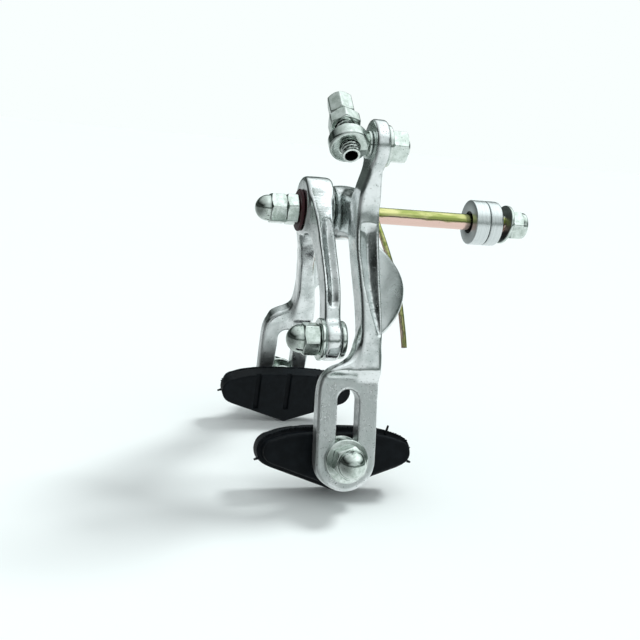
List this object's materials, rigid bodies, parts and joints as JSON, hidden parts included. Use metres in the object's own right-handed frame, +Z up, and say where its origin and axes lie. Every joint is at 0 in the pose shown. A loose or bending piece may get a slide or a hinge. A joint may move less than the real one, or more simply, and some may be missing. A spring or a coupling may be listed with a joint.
{
  "type": "rim brake caliper",
  "caption": "Single-pivot side-pull rim brake caliper with two slotted arms, adjustable pads, cable anchor and barrel adjuster.",
  "frame": {"origin": "on the pivot bolt's axis, in the spring block's rear face, which seats against the fork crown", "axes": "+Z up, +Y rearward along the pivot bolt, +X towards the cable side"},
  "size_m": [0.1298, 0.1053, 0.1328],
  "materials": {
    "polished_aluminium": "polished casting",
    "turned_aluminium": "turned",
    "white_zinc": "white zinc plated",
    "yellow_zinc": "yellow zinc plated",
    "maroon_fibre": "matt",
    "black_rubber": "moulded",
    "nylon": "satin"
  },
  "bodies": {
    "pivot": {"pivot_bolt": "yellow_zinc", "front_cap_nut": "white_zinc", "front_lock_nut": "white_zinc", "front_washer": "maroon_fibre", "middle_washer": "white_zinc", "rear_pivot_washer": "white_zinc", "spring_block": "turned_aluminium", "return_spring": "yellow_zinc", "rear_washer": "white_zinc", "rear_lock_nut": "white_zinc", "lock_nut_insert": "nylon"},
    "seat_bushings": {"seat_bushing_front": "turned_aluminium", "seat_bushing_rear": "turned_aluminium"},
    "c_arm": {"c_arm": "polished_aluminium"},
    "y_arm": {"y_arm": "polished_aluminium"},
    "cable_anchor": {"anchor_bolt": "white_zinc", "anchor_washer": "white_zinc", "anchor_cap_nut": "white_zinc"},
    "adjuster_eye": {"adjuster_eyebolt": "white_zinc", "eyebolt_washer": "white_zinc", "eyebolt_nut": "white_zinc"},
    "adjuster_barrel": {"adjuster_barrel": "white_zinc"},
    "adjuster_lock_nut": {"adjuster_lock_nut": "white_zinc"},
    "right_pad_washers": {"right_pad_outer_washer": "white_zinc", "right_pad_inner_washer": "white_zinc"},
    "right_pad": {"right_pad_rubber": "black_rubber", "right_pad_stud": "white_zinc", "right_pad_cap_nut": "white_zinc"},
    "left_pad_washers": {"left_pad_outer_washer": "white_zinc", "left_pad_inner_washer": "white_zinc"},
    "left_pad": {"left_pad_rubber": "black_rubber", "left_pad_stud": "white_zinc", "left_pad_cap_nut": "white_zinc"}
  },
  "joints": [
    {"name": "c_arm_pivot", "type": "hinge", "parent": "pivot", "child": "c_arm", "pos_m": [0, 0, 0], "axis": [0, -1, 0], "range_deg": [0, 17], "stiffness_Nm_per_rad": 0.4, "springref_deg": -20.05, "deforming": ["return_spring"]},
    {"name": "y_arm_pivot", "type": "hinge", "parent": "pivot", "child": "y_arm", "pos_m": [0, 0, 0], "axis": [0, 1, 0], "range_deg": [0, 17], "stiffness_Nm_per_rad": 0.4, "springref_deg": -20.05, "deforming": ["return_spring"]},
    {"name": "cable_anchor_swivel", "type": "hinge", "parent": "c_arm", "child": "cable_anchor", "pos_m": [0.036, 0, -0.039], "axis": [0, 1, 0], "continuous": true},
    {"name": "adjuster_swivel", "type": "hinge", "parent": "y_arm", "child": "adjuster_eye", "pos_m": [0.029, 0, 0.0255], "axis": [0, 1, 0], "range_deg": [-35, 80]},
    {"name": "adjuster_travel", "type": "slide", "parent": "adjuster_eye", "child": "adjuster_barrel", "axis": [-0.7771, 0, 0.6293], "range_m": [0, 0.006]},
    {"name": "lock_nut_travel", "type": "slide", "parent": "adjuster_barrel", "child": "adjuster_lock_nut", "axis": [0.7771, 0, -0.6293], "range_m": [0, 0.004]},
    {"name": "bushing_slide", "type": "slide", "parent": "pivot", "child": "seat_bushings", "axis": [0, -1, 0], "range_m": [0, 0.0375]},
    {"name": "right_pad_height", "type": "slide", "parent": "y_arm", "child": "right_pad_washers", "axis": [-0.1908, 0, 0.9816], "range_m": [0, 0.0195]},
    {"name": "right_pad_angle", "type": "hinge", "parent": "right_pad_washers", "child": "right_pad", "pos_m": [0.0537, -0.0175, -0.075], "axis": [0.9816, 0, 0.1908], "range_deg": [-15, 15]},
    {"name": "left_pad_height", "type": "slide", "parent": "c_arm", "child": "left_pad_washers", "axis": [0.1908, 0, 0.9816], "range_m": [0, 0.0195]},
    {"name": "left_pad_angle", "type": "hinge", "parent": "left_pad_washers", "child": "left_pad", "pos_m": [-0.0537, -0.0175, -0.075], "axis": [-0.9816, 0, 0.1908], "range_deg": [-15, 15]}
  ],
  "couplings": [
    {"joint": "c_arm_pivot", "follows": "y_arm_pivot", "ratio": 1}
  ]
}
